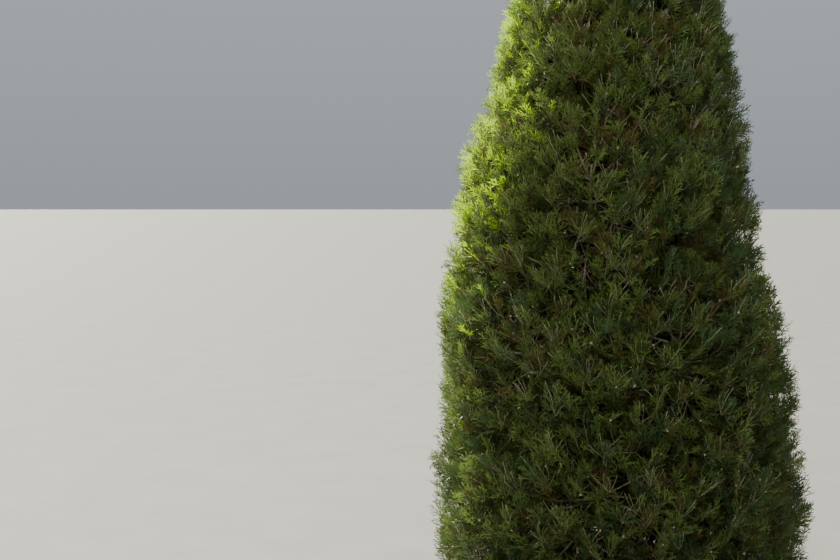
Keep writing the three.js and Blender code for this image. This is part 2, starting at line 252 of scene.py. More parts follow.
@dataclass
class Skeleton:
    """Tiers, masses and limbs, laid out by the same rule as the solids."""

    crown: Crown
    tiers: int = 5
    masses_round: int = 5
    first_tier: float = 0.690
    tier_shrink: float = 0.91
    first_angle: float = -1.2
    border_wave: float = 0.2
    space_gap: float = 0.012
    trunk_tip: float = 2.83
    trunk_radius: float = 0.050
    trunk_tip_radius: float = 0.008
    trunk_sway: float = 0.5
    bough_share: float = 0.36
    bough_least: float = 0.0065
    bough_taper: float = 0.66
    bough_entry: float = 0.34
    bough_entry_up: float = 0.42
    bough_bend: float = 0.16
    bough_stray: float = 0.07
    bough_seed: int = 7000
    low_rise: float = math.radians(24)
    high_rise: float = math.radians(52)
    stem_reach: float = 0.8
    stem_end_up: float = 0.62
    stem_tip_radius: float = 0.0035
    twig_spacing: float = 0.190
    twig_radius: float = 0.0050
    twig_tip_radius: float = 0.0022
    twig_reach: float = 0.85
    twig_sunk: float = 0.026
    twig_drop: float = 0.03
    twig_stagger: float = 0.2
    twig_stray: float = 0.16
    twig_bend: float = 0.12
    first_twig: float = 0.3
    last_twig: float = 0.9
    fewest_columns: int = 2
    leader_bare: float = 0.190
    smallest_scale: float = 0.6
    seed: int = 4127
    tier_seeds: int = 100
    tier_rows: list[Triple] = field(default_factory=list)

    def __post_init__(self) -> None:
        """Work out each tier's top, its height, and the angle of its first mass."""
        self.tier_rows = [(self.crown.skirt, 0.0, self.first_angle)]
        for tier in range(1, self.tiers + 1):
            height = self.first_tier * self.tier_shrink ** (tier - 1)
            angle = self.first_angle + tier * math.pi / self.masses_round
            self.tier_rows.append((self.tier_rows[-1][0] + height, height, angle))

    def tier_top(self, tier: int, angle: Array) -> Array:
        """Give where a tier ends at the skin: a wave that is highest over the middle of each mass.

        Args:
            tier: The tier's number, 0 for the skirt.
            angle: Angles round the trunk.

        Returns:
            The heights.
        """
        if tier > self.tiers:
            return self.crown.height + 0 * angle
        top, height, first = self.tier_rows[tier]
        return top + self.border_wave * height * np.cos(self.masses_round * (angle - first))

    def height_in(self, mass: Mass, angle: Array, share: Array) -> Array:
        """Give heights at the skin in a mass's space.

        Args:
            mass: The mass.
            angle: Angles round the trunk.
            share: 0 at the space's lower border and 1 at its upper one.

        Returns:
            The heights.
        """
        low = self.tier_top(mass.tier - 1, angle) + self.space_gap
        high = self.tier_top(mass.tier, angle) - self.space_gap
        return low + (high - low) * share

    def span(self, mass: Mass) -> float:
        """Give how tall a mass's space is at its middle."""
        return float(self.height_in(mass, mass.angle, 1) - self.height_in(mass, mass.angle, 0))

    def reach_up(self, mass: Mass, share: float) -> float:
        """Give the crown's reach in the middle of a mass, by share of the mass's height."""
        return float(self.crown.reach(self.height_in(mass, mass.angle, share), mass.angle))

    def masses(self) -> list[Mass]:
        """Lay out the masses: sectors of the tiers, and one round the leader.

        Returns:
            The masses, from the lowest tier up.
        """
        found = []
        for tier in range(1, self.tiers + 1):
            for number in range(1, self.masses_round + 1):
                angle = self.tier_rows[tier][2] + 2 * math.pi * number / self.masses_round
                seed = self.seed + self.tier_seeds * tier + number
                found.append(Mass(f"{tier}_{number}", seed, tier, angle, math.pi / self.masses_round))
        found.append(Mass("top", self.seed, self.tiers + 1, self.tier_rows[self.tiers][2], math.pi))
        for mass in found:
            mass.reach = self.reach_up(mass, 0.5)
        return found

    def scale_of(self, mass: Mass) -> float:
        """Give how large a mass's sprays and spacings are: less towards the crown's tip."""
        return lerp(self.smallest_scale, 1, mass.reach / self.crown.radius)

    def trunk_centre(self, z: float) -> Array:
        """Give the middle of the trunk at a height."""
        return np.array([self.trunk_sway * (self.crown.sway(z) - self.crown.sway(0.0)), 0.0, z])

    def trunk_girth(self, z: float) -> float:
        """Give the trunk's radius at a height, above the root flare."""
        return lerp(self.trunk_radius, self.trunk_tip_radius, z / self.trunk_tip)

    def rising(self, start: Array, end: Array, bend: float, radii: Range) -> Limb:
        """Make a limb that leaves start flatter and turns up into end.

        Args:
            start: Where the limb begins.
            end: Where it ends.
            bend: How far its middle sags, as a share of its rise.
            radii: Its radii at start and end.

        Returns:
            The limb.
        """
        middle = (start + end) / 2
        middle[2] -= bend * (end[2] - start[2])
        return Limb(start, middle, end, *radii)

    def bough(self, mass: Mass) -> Limb:
        """Plan a mass's bough, from inside the trunk to where it enters the mass.

        Args:
            mass: The mass.

        Returns:
            The bough.
        """
        draws = SeededDraws(mass.seed + self.bough_seed)
        entry_angle = mass.angle + draws.spread(self.bough_stray)
        entry_up = self.bough_entry_up + draws.spread(self.bough_stray)
        end = self.crown.point(entry_angle, self.height_in(mass, entry_angle, entry_up), self.bough_entry)
        steepness = (mass.tier - 1) / (self.tiers - 1)
        rise = lerp(self.low_rise, self.high_rise, steepness) + draws.spread(self.bough_stray)
        run = math.hypot(end[0] - self.crown.sway(end[2]), end[1])
        start = self.trunk_centre(end[2] - run * math.tan(rise))
        radius = max(self.bough_least, self.bough_share * self.trunk_girth(start[2]))
        return self.rising(start, end, self.bough_bend, (radius, self.bough_taper * radius))

    def stem(self, mass: Mass) -> Limb:
        """Plan a mass's stem, which carries on from its bough, or from the trunk's tip at the top.

        Args:
            mass: The mass.

        Returns:
            The stem.
        """
        if mass.tier > self.tiers:
            start = self.trunk_centre(self.trunk_tip)
            end = np.array([self.crown.sway(self.crown.height), 0.0, self.crown.height - self.leader_bare])
            return self.rising(start, end, 0.0, (self.trunk_tip_radius, self.stem_tip_radius))
        bough = self.bough(mass)
        end_height = self.height_in(mass, mass.angle, self.stem_end_up)
        end = self.crown.point(mass.angle, end_height, self.stem_reach)
        middle = bough.end + bough.tangent(1) * np.linalg.norm(end - bough.end) / 2
        return Limb(bough.end, middle, end, bough.tip_radius, self.stem_tip_radius)

    def twigs(self, mass: Mass, stem: Limb) -> list[Limb]:
        """Plan a mass's twigs, which leave the stem in turn and end evenly under the skin.

        Args:
            mass: The mass.
            stem: Its stem.

        Returns:
            The twigs.
        """
        draws = SeededDraws(mass.seed)
        spacing = self.twig_spacing * self.scale_of(mass)
        radii = (self.twig_radius, self.twig_tip_radius)
        rows = round(self.span(mass) / spacing)
        found = []
        for row in range(rows):
            up = (row + 0.5) / rows
            reach = self.reach_up(mass, up)
            columns = max(self.fewest_columns, round(2 * mass.half_angle * reach / spacing))
            stagger = self.twig_stagger if row % 2 else -self.twig_stagger
            for column in range(columns):
                along = (column + 0.5 + stagger + draws.spread(self.twig_stray)) / columns
                angle = mass.angle + mass.half_angle * (2 * along - 1)
                share = up - self.twig_drop + draws.spread(self.twig_stray) / rows
                height = self.height_in(mass, angle, share)
                end = self.crown.point(angle, height, self.twig_reach - self.twig_sunk / reach)
                start = stem.point(lerp(self.first_twig, self.last_twig, up))
                found.append(self.rising(start, end, self.twig_bend, radii))
        return found


def add_node(
    tree: Tree, kind: str, values: dict[str | int, object] | None = None, operation: str | None = None
) -> Node:
    """Add a node to a tree.

    Args:
        tree: The tree.
        kind: The node's type.
        values: What its sockets hold, by their names or numbers.
        operation: What the node does, where its type has a choice.

    Returns:
        The node.
    """
    node = tree.nodes.new(kind)
    if operation:
        node.operation = operation
    for socket, value in (values or {}).items():
        node.inputs[socket].default_value = value
    return node


def add_ramp(tree: Tree, low: Triple, high: Triple, places: Range = (0.0, 1.0)) -> Node:
    """Add a colour ramp to a tree.

    Args:
        tree: The tree.
        low: The colour that it starts from.
        high: The colour that it ends in.
        places: Where it starts and ends.

    Returns:
        The node.
    """
    ramp = add_node(tree, "ShaderNodeValToRGB")
    for element, colour, place in zip(ramp.color_ramp.elements, (low, high), places):
        element.color = (*colour, 1)
        element.position = place
    return ramp


def link(tree: Tree, *wires: tuple[Node, str | int, Node, str | int]) -> None:
    """Join a tree's nodes.

    Args:
        tree: The tree.
        wires: For each link, a node and its output, and the next node and its input.
    """
    for source, output, target, entry in wires:
        tree.links.new(source.outputs[output], target.inputs[entry])


@dataclass(frozen=True)
class MottledFinish:
    """A surface whose colour is mottled by noise, with fine relief."""

    name: str
    base: Triple
    light: Triple
    roughness: float = 0.6
    noise_scale: float = 90.0
    stretch: Triple = (1.0, 1.0, 1.0)
    bump: float = 0.3
    bump_distance: float = 0.0006
    gloss: float = 0.35
    translucency: float = 0.0
    noise_detail: float = 4.0
    mottle: Range = (0.36, 0.66)

    def material(self) -> Material:
        """Build the node material.

        Returns:
            The material.
        """
        material = bpy.data.materials.new(self.name)
        material.use_nodes = True
        material.diffuse_color = (*self.base, 1)
        tree = material.node_tree
        shader = tree.nodes["Principled BSDF"]
        shader.inputs["Roughness"].default_value = self.roughness
        shader.inputs["Specular IOR Level"].default_value = self.gloss
        where = add_node(tree, "ShaderNodeTexCoord")
        mapping = add_node(tree, "ShaderNodeMapping", {"Scale": self.stretch})
        grain = {"Scale": self.noise_scale, "Detail": self.noise_detail}
        noise = add_node(tree, "ShaderNodeTexNoise", grain)
        ramp = add_ramp(tree, self.base, self.light, self.mottle)
        relief = add_node(tree, "ShaderNodeBump", {"Strength": self.bump, "Distance": self.bump_distance})
        link(
            tree,
            (where, "Object", mapping, "Vector"),
            (mapping, "Vector", noise, "Vector"),
            (noise, "Fac", ramp, "Fac"),
            (ramp, "Color", shader, "Base Color"),
            (noise, "Fac", relief, "Height"),
            (relief, "Normal", shader, "Normal"),
        )
        if self.translucency:
            self.let_light_through(tree, ramp)
        return material

    def let_light_through(self, tree: Tree, ramp: Node) -> None:
        """Mix in a share of light that passes through the leaf.

        Args:
            tree: The material's nodes.
            ramp: The node that gives the leaf's colour.
        """
        through = add_node(tree, "ShaderNodeBsdfTranslucent")
        mix = add_node(tree, "ShaderNodeMixShader", {"Fac": self.translucency})
        link(
            tree,
            (ramp, "Color", through, "Color"),
            (tree.nodes["Principled BSDF"], "BSDF", mix, 1),
            (through, "BSDF", mix, 2),
            (mix, "Shader", tree.nodes["Material Output"], "Surface"),
        )


@dataclass(frozen=True)
class Leaf(MottledFinish):
    """A leaf's finish: smoother and more finely mottled than bark."""

    roughness: float = 0.44
    noise_scale: float = 130.0


BARK = MottledFinish(
    "bark",
    base=(0.088, 0.052, 0.034),
    light=(0.215, 0.160, 0.120),
    roughness=0.92,
    noise_scale=34.0,
    stretch=(1.0, 1.0, 0.16),
    bump=0.6,
    bump_distance=0.003,
)
TWIG_BARK = MottledFinish(
    "twig_bark",
    base=(0.190, 0.150, 0.090),
    light=(0.400, 0.350, 0.230),
    noise_scale=60.0,
    stretch=(1.0, 1.0, 0.5),
    bump=0.4,
)
SHOOT_BARK = MottledFinish(
    "shoot_bark",
    base=(0.230, 0.260, 0.120),
    light=(0.380, 0.410, 0.220),
    roughness=0.50,
    noise_scale=60.0,
    gloss=0.4,
)
CONE_SCALE = MottledFinish("cone_scale", (0.420, 0.350, 0.230), (0.700, 0.640, 0.480), noise_scale=220.0)
PALE_FLOOR = MottledFinish(
    "pale_floor", (0.22, 0.22, 0.22), (0.24, 0.24, 0.24), roughness=0.9, noise_scale=3.0, bump=0.0
)


class Tint(Enum):
    """The leaf colours that are dealt out by spray; deep and inner are painted shade, lime is painted
    sunlight.
    """

    # Painted shade: a dark green for sprays deep under the skin and on the shaded side.
    DEEP = Leaf("leaf_deep", (0.062, 0.090, 0.019), (0.094, 0.132, 0.030), gloss=0.25, translucency=0.22)
    OLIVE = Leaf("leaf_olive", (0.116, 0.162, 0.031), (0.196, 0.254, 0.062), translucency=0.30)
    FRESH = Leaf("leaf_fresh", (0.098, 0.168, 0.031), (0.164, 0.250, 0.055), translucency=0.36)
    # Partly painted shade: a blue-green dealt in random clumps, and in more of them on the shaded side.
    BLUE = Leaf("leaf_blue", (0.060, 0.108, 0.034), (0.096, 0.160, 0.054), translucency=0.24)
    # Painted sunlight, partly also fresher growth: a bright yellow-green for outer sprays on the sun's side.
    LIME = Leaf("leaf_lime", (0.340, 0.520, 0.018), (0.480, 0.690, 0.032), gloss=0.25, translucency=0.52)
    BRONZE = Leaf("leaf_bronze", (0.098, 0.094, 0.022), (0.140, 0.128, 0.032), gloss=0.25, translucency=0.24)
    DRY = Leaf("leaf_dry", (0.112, 0.076, 0.030), (0.170, 0.122, 0.052), gloss=0.1, translucency=0.10)
    # Painted shade: the darkest tint, for sprays far inside the crown.
    INNER = Leaf("leaf_inner", (0.058, 0.064, 0.016), (0.086, 0.092, 0.026), gloss=0.1, translucency=0.10)

    @property
    def index(self) -> int:
        """The tint's place among the materials of a foliage piece."""
        return list(Tint).index(self)


def deselect_all() -> None:
    """Leave object mode with nothing selected."""
    if bpy.context.object and bpy.context.object.mode != "OBJECT":
        bpy.ops.object.mode_set(mode="OBJECT")
    bpy.ops.object.select_all(action="DESELECT")


def select_vertices(piece: Piece, chosen: Array) -> None:
    """Select vertices of the piece that is being edited, and nothing else.

    Args:
        piece: The piece, in edit mode.
        chosen: True for each vertex to select.
    """
    bpy.ops.mesh.select_mode(type="VERT")
    bpy.ops.mesh.select_all(action="DESELECT")
    bpy.ops.object.mode_set(mode="OBJECT")
    piece.data.vertices.foreach_set("select", chosen)
    bpy.ops.object.mode_set(mode="EDIT")


def vertex_places(piece: Piece) -> Array:
    """Read a piece's vertices, from object mode.

    Args:
        piece: The piece.

    Returns:
        One row of X, Y and Z for each vertex.
    """
    places = np.empty(len(piece.data.vertices) * 3)
    piece.data.vertices.foreach_get("co", places)
    return places.reshape(-1, 3)


def apply_modifier(piece: Piece, modifier: bpy.types.Modifier) -> None:
    """Make a modifier's result the piece's own mesh, and leave the piece selected alone.

    Args:
        piece: The piece.
        modifier: Its modifier.
    """
    deselect_all()
    piece.select_set(True)
    bpy.context.view_layer.objects.active = piece
    bpy.ops.object.modifier_apply(modifier=modifier.name)


def refine(piece: Piece, levels: int) -> None:
    """Subdivide a piece smoothly and keep the result.

    Args:
        piece: The piece.
        levels: How many times.
    """
    modifier = piece.modifiers.new("refine", "SUBSURF")
    modifier.levels = modifier.render_levels = levels
    apply_modifier(piece, modifier)
    bpy.ops.object.shade_smooth()


def take_pattern(piece: Piece) -> MeshArrays:
    """Read a modelled piece as a pattern to be copied, and remove it from the scene.

    Args:
        piece: The piece, whose faces are made triangles.

    Returns:
        Its vertices and triangles.
    """
    bpy.ops.object.mode_set(mode="EDIT")
    bpy.ops.mesh.select_all(action="SELECT")
    bpy.ops.mesh.quads_convert_to_tris()
    bpy.ops.object.mode_set(mode="OBJECT")
    places = vertex_places(piece)
    triangles = np.array([tuple(face.vertices) for face in piece.data.polygons])
    mesh = piece.data
    bpy.data.objects.remove(piece)
    bpy.data.meshes.remove(mesh)
    return places, triangles


def joined_piece(
    name: str,
    arrays: MeshArrays,
    materials: list[Material],
    dealt: Array | None = None,
    smooth: bool = False,
) -> Piece:
    """Make one mesh object from arrays.

    Args:
        name: The piece's name.
        arrays: Its vertices and triangles.
        materials: The piece's materials.
        dealt: The place of each triangle's material, or None for the first.
        smooth: True for round things, False for folded ones.

    Returns:
        The object, linked to the scene.
    """
    places, triangles = arrays
    mesh = bpy.data.meshes.new(name)
    mesh.vertices.add(len(places))
    mesh.vertices.foreach_set("co", places.astype(np.float32).ravel())
    mesh.loops.add(triangles.size)
    mesh.loops.foreach_set("vertex_index", triangles.astype(np.int32).ravel())
    mesh.polygons.add(len(triangles))
    mesh.polygons.foreach_set("loop_start", np.arange(0, triangles.size, 3, dtype=np.int32))
    mesh.polygons.foreach_set("use_smooth", np.full(len(triangles), smooth))
    for material in materials:
        mesh.materials.append(material)
    if dealt is not None:
        mesh.polygons.foreach_set("material_index", dealt.astype(np.int32))
    mesh.update(calc_edges=True)
    piece = bpy.data.objects.new(name, mesh)
    bpy.context.collection.objects.link(piece)
    return piece


def declare(piece: Piece, slot: str, *replaced: str) -> Piece:
    """Ride a piece on the tree, and hide the nodes that it stands for.

    Args:
        piece: The piece.
        slot: Not used.
        replaced: The nodes that it stands for.

    Returns:
        The piece.
    """
    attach(piece, BODY)
    if replaced:
        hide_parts(*replaced)
    return piece


def copies(pattern: Array, roots: Array, axes: Array, sizes: Array) -> Array:
    """Place copies of a pattern.

    Args:
        pattern: The pattern's vertices.
        roots: Where each copy's origin goes.
        axes: Each copy's X, Y and Z directions, as rows.
        sizes: Each copy's scale.

    Returns:
        The vertices of all the copies: copy, vertex, XYZ.
    """
    return roots[:, None, :] + np.einsum("vk,nkc->nvc", pattern, axes) * sizes[:, None, None]


def repeated(triangles: Array, count: int, vertices: int) -> Array:
    """Number the triangles of count copies of a pattern that has so many vertices."""
    return (triangles[None, :, :] + (np.arange(count) * vertices)[:, None, None]).reshape(-1, 3)


def join_parts(parts: list[MeshArrays]) -> MeshArrays:
    """Join meshes that are held as arrays.

    Args:
        parts: The meshes.

    Returns:
        Their vertices, and their triangles with the vertices numbered through.
    """
    places, triangles, used = [], [], 0
    for part_places, part_triangles in parts:
        places.append(part_places)
        triangles.append(part_triangles + used)
        used += len(part_places)
    return np.concatenate(places), np.concatenate(triangles)


@dataclass
class Branchlet:
    """One scale-leaved finger of a spray: a slim blade, folded along its rib and widest past its middle."""

    fold: float = 0.22
    widest_at: float = 0.56

    def build(self) -> MeshArrays:
        """Model the finger along +Y from a plane, one unit long and one wide.

        Returns:
            Its vertices and triangles.
        """
        middle = (0, 0.5, 0)
        deselect_all()
        bpy.ops.mesh.primitive_plane_add(size=math.sqrt(0.5), location=middle)
        piece = bpy.context.object
        bpy.ops.object.mode_set(mode="EDIT")
        bpy.ops.transform.rotate(value=math.pi / 4, orient_axis="Z", center_override=middle)
        bpy.ops.object.mode_set(mode="OBJECT")
        bpy.ops.object.transform_apply(location=True, rotation=True, scale=True)
        places = vertex_places(piece)
        bpy.ops.object.mode_set(mode="EDIT")
        select_vertices(piece, np.abs(places[:, 0]) < SAME_PLACE)
        bpy.ops.mesh.vert_connect_path()
        select_vertices(piece, np.abs(places[:, 0]) > SAME_PLACE)
        bpy.ops.transform.translate(value=(0, self.widest_at - middle[1], -self.fold))
        return take_pattern(piece)


@dataclass(frozen=True)
class SprayPattern:
    """A flat spray: a rib with pairs of fingers, some forked, that grow shorter towards its tip."""

    pairs: int = 3
    forked: int = 1
    splay: float = math.radians(44)
    splay_tip: float = math.radians(28)
    cup: float = 0.3
    droop: float = 0.06
    longest: float = 0.54
    width: float = 0.047
    unevenness: float = 0.24
    tilt: float = 0.42
    pair_shift: float = 0.3
    first_pair: float = 0.10
    pairs_over: float = 0.72
    stagger: float = 0.05
    place_stray: float = 0.03
    shortening: float = 0.62
    lengths: Range = (0.8, 1.12)
    fork_at: float = 0.42
    fork_turns: Range = (0.45, 0.75)
    fork_length: float = 0.5
    outward_every: int = 3

    def build(self, finger: Array, triangles: Array, seed: int) -> MeshArrays:
        """Set copies of the finger along the rib.

        Args:
            finger: The finger's vertices.
            triangles: Its triangles.
            seed: Seed for small unevenness.

        Returns:
            The spray's vertices, one unit long along +Y, and its triangles.
        """
        chance = np.random.default_rng(seed)
        made = [self.place(finger, np.zeros(2), 0.0, 1.0, 0.0)]
        for pair in range(self.pairs):
            share = (pair + self.pair_shift) / self.pairs
            for side in (-1, 1):
                along = self.first_pair + self.pairs_over * share + self.stagger * side
                at = np.array([0.0, along + either_way(chance, self.place_stray)])
                turn = side * lerp(self.splay, self.splay_tip, share) + chance.normal(0, self.unevenness)
                length = self.longest * (1 - self.shortening * share) * chance.uniform(*self.lengths)
                made.append(self.place(finger, at, turn, length, either_way(chance, self.tilt)))
                if pair < self.forked:
                    fork = at + self.fork_at * length * np.array([math.sin(turn), math.cos(turn)])
                    inward = 1 if (pair + side) % self.outward_every else -1
                    turn -= side * chance.uniform(*self.fork_turns) * inward
                    tilt = either_way(chance, self.tilt)
                    made.append(self.place(finger, fork, turn, self.fork_length * length, tilt))
        places = np.concatenate(made)
        places[:, 2] += self.cup * places[:, 0] ** 2 - self.droop * places[:, 1] ** 2
        return places, repeated(triangles, len(made), len(finger))

    def place(self, finger: Array, at: Array, turn: float, length: float, tilt: float) -> Array:
        """Set one finger in the spray.

        Args:
            finger: The finger's vertices.
            at: Where it starts, across and along the spray.
            turn: How far it turns off the rib, in radians.
            length: Its length.
            tilt: How steeply it leaves the flat of the spray.

        Returns:
            The finger's vertices in the spray.
        """
        across, along = finger[:, 0] * self.width, finger[:, 1] * length
        x = across * math.cos(turn) + along * math.sin(turn) + at[0]
        y = along * math.cos(turn) - across * math.sin(turn) + at[1]
        return np.stack([x, y, finger[:, 2] * self.width + tilt * along], axis=1)


@dataclass(frozen=True)
class Layer:
    """A shell of twiglets at one depth under the skin: tufts outside, and what closes the view inside."""

    spacing: float
    depth: float
    stray: float
    sprays: int
    length: float
    first_spray: float
    crowding: float
    rises: Range
    roll: float
    patterns: tuple[SprayPattern, ...]


SKIN = Layer(
    spacing=0.063,
    depth=0.014,
    stray=0.044,
    sprays=8,
    length=0.080,
    first_spray=0.50,
    crowding=1.5,
    rises=(18, 78),
    roll=1.4,
    patterns=(
        SprayPattern(),
        SprayPattern(splay=math.radians(36), cup=-0.4, droop=0.10, longest=0.50),
        SprayPattern(splay=math.radians(52), cup=0.5, droop=-0.05, longest=0.58),
        SprayPattern(forked=3, splay=math.radians(40), droop=0.16),
    ),
)
MIDDLE = Layer(
    spacing=0.088,
    depth=0.125,
    stray=0.030,
    sprays=6,
    length=0.115,
    first_spray=0.40,
    crowding=1.0,
    rises=(30, 78),
    roll=1.1,
    patterns=(SprayPattern(pairs=4, width=0.064), SprayPattern(forked=2, cup=-0.3, width=0.074)),
)
INSIDE = Layer(
    spacing=0.120,
    depth=0.250,
    stray=0.030,
    sprays=7,
    length=0.185,
    first_spray=0.30,
    crowding=1.0,
    rises=(55, 85),
    roll=0.5,
    patterns=(SprayPattern(forked=0, longest=0.66, width=0.150), SprayPattern(forked=1, width=0.120)),
)


@dataclass(frozen=True)
class TintRule:
    """Where each tint goes: painted sunlight and shade by side and by depth, real tones by chance and depth.

    Angles are in radians, and heights and depths in metres. The other limits are shares of 1, drawn for
    each spray or for each clump of them.
    """

    sun_angle: float = math.radians(168)
    shade_angle: float = math.radians(-15)
    sun_from: float = 0.6
    sun_over: float = 0.9
    least_sun: float = 0.1
    low_shade: float = 1.2
    low_shade_over: float = 1.4
    fresh_below: float = 0.30
    blue_above: float = 0.93
    blue_by_shade: float = 0.45
    bronze_below: float = 0.14
    bronze_lost_in_sun: float = 0.9
    deep_depth: float = 0.075
    deep_by_shade: float = 0.35
    lime_by_sun: float = 0.6
    lime_depth: float = 0.045
    lime_tip: float = 0.8
    lime_tip_depth: float = 0.05
    dry_below: float = 0.24
    dry_depth: float = 0.11
    dry_clumps: Range = (0.30, 0.34)
    dry_clump_depth: float = 0.035
    inner_depth: float = 0.19

    def deal(self, crown: Crown, roots: Array, t: Array, chance: Chance) -> Array:
        """Choose each spray's tint, in clumps of a twiglet, with sunlight and shade painted into some tints.

        Args:
            crown: The crown.
            roots: The sprays' roots: twiglet, spray, XYZ.
            t: Each spray's share of its twiglet's length.
            chance: The mass's random numbers.

        Returns:
            The places of the tints among the materials.
        """
        angle, proud = crown.place(roots)
        z = roots[..., 2]
        clump = chance.uniform(0, 1, (len(proud), 1)) + 0 * proud
        single = chance.uniform(0, 1, proud.shape)
        # Painted light: sunny is strongest on the sun's side and fades towards the bottom, where less
        # sunlight is painted.
        lit = np.clip((z - self.sun_from) / self.sun_over, self.least_sun, 1)
        sunny = np.clip(np.cos(angle - self.sun_angle), 0, 1) * lit
        # Painted shade: shady is high on the right flank and on the low left, and deals darker tints there.
        low_left_shade = np.clip(self.low_shade - z / self.low_shade_over, 0, 1) * np.clip(-np.cos(angle), 0, 1)
        shady = np.clip(np.cos(angle - self.shade_angle), 0, 1) + low_left_shade
        lime_above = 1 - self.lime_by_sun * sunny**3
        tip = (t[..., 0] > self.lime_tip) & (proud > -self.lime_tip_depth)
        dry_clump = (clump > self.dry_clumps[0]) & (clump < self.dry_clumps[1])
        # A later row holds over an earlier one.
        rules = (
            (Tint.FRESH, single < self.fresh_below),
            # Blue-green clumps: some at random, and more on the shaded side as painted shade.
            (Tint.BLUE, clump > self.blue_above - self.blue_by_shade * shady),
            # Bronze clumps are a real tone; they thin out on the sun's side, which keeps the painted
            # sunlight there green.
            (Tint.BRONZE, clump < self.bronze_below * (1 - self.bronze_lost_in_sun * sunny)),
            # Painted shade: sprays deep under the skin, and random sprays on the shaded side, take the dark
            # deep tint.
            (Tint.DEEP, (proud < -self.deep_depth) & (single > self.fresh_below)),
            (Tint.DEEP, single > 1 - self.deep_by_shade * shady),
            # Painted sunlight: outer tips and clumps on the sun's side take the lime tint.
            (Tint.LIME, tip & (single > lime_above)),
            (Tint.LIME, (proud > -self.lime_depth) & (clump > lime_above)),
            (Tint.DRY, (proud < -self.dry_depth) & (single < self.dry_below)),
            (Tint.DRY, dry_clump & (proud < -self.dry_clump_depth)),
            # Painted shade: sprays far inside the crown take the darkest tint.
            (Tint.INNER, proud < -self.inner_depth),
        )
        dealt = np.full(proud.shape, Tint.OLIVE.index)
        for tint, where in rules:
            dealt[where] = tint.index
        return dealt


@dataclass
class Grown:
    """Sprays before they are meshed: their roots, axes, lengths and tints."""

    roots: Array
    axes: Array
    lengths: Array
    tints: Array

    def chosen(self, mask: Array) -> "Grown":
        """Give the sprays that a mask is true for."""
        return Grown(self.roots[mask], self.axes[mask], self.lengths[mask], self.tints[mask])


@dataclass
class Patch:
    """One mass's part of a layer, the twigs that it grows on, and the mass's random numbers."""

    mass: Mass
    layer: Layer
    twigs: list[Limb]
    chance: Chance


